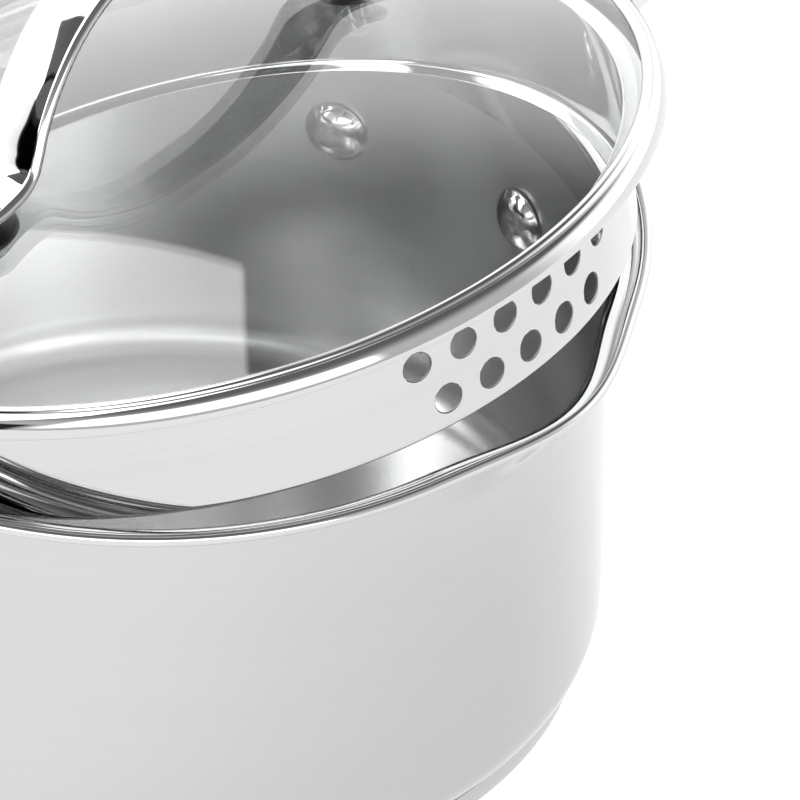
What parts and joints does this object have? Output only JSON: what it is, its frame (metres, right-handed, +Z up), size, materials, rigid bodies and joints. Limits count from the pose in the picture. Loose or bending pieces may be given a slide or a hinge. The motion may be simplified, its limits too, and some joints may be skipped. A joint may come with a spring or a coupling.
{
  "type": "saucepan with straining lid",
  "caption": "Polished steel saucepan with pouring lips, a riveted long handle and a tilted glass lid with a holed straining skirt and an arched strap handle.",
  "frame": {"origin": "centre of the underside of the base", "axes": "+Z is up along the pan's axis; +X runs out along the long handle; the pouring lips face about -Y and +Y"},
  "size_m": [0.3662, 0.2034, 0.1712],
  "materials": {
    "steel_body": "polished stainless steel outside, fine brushed inside",
    "aluminium_core": "plain pressed",
    "steel_base": "turned, polished edge",
    "steel_handle": "polished cast stainless steel",
    "steel_rivets": "polished",
    "steel_lid_rim": "polished",
    "lid_glass": "clear tempered",
    "steel_strainer": "satin",
    "steel_lid_handle": "polished",
    "dark_washer": "matt",
    "clear_washer": "translucent",
    "steel_screws": "polished"
  },
  "bodies": {
    "pan": {"pan_body": "steel_body", "base_core": "aluminium_core", "base_cap": "steel_base", "pan_handle": "steel_handle", "handle_rivets": "steel_rivets"},
    "lid": {"lid_rim": "steel_lid_rim", "lid_glass": "lid_glass", "lid_strainer": "steel_strainer", "lid_handle": "steel_lid_handle", "foot_washers": "dark_washer", "under_washers": "clear_washer", "lid_screws": "steel_screws"}
  },
  "joints": [
    {"name": "lid_lift", "type": "slide", "parent": "pan", "child": "lid", "axis": [0, 0, 1], "range_m": [0, 0.1]}
  ]
}
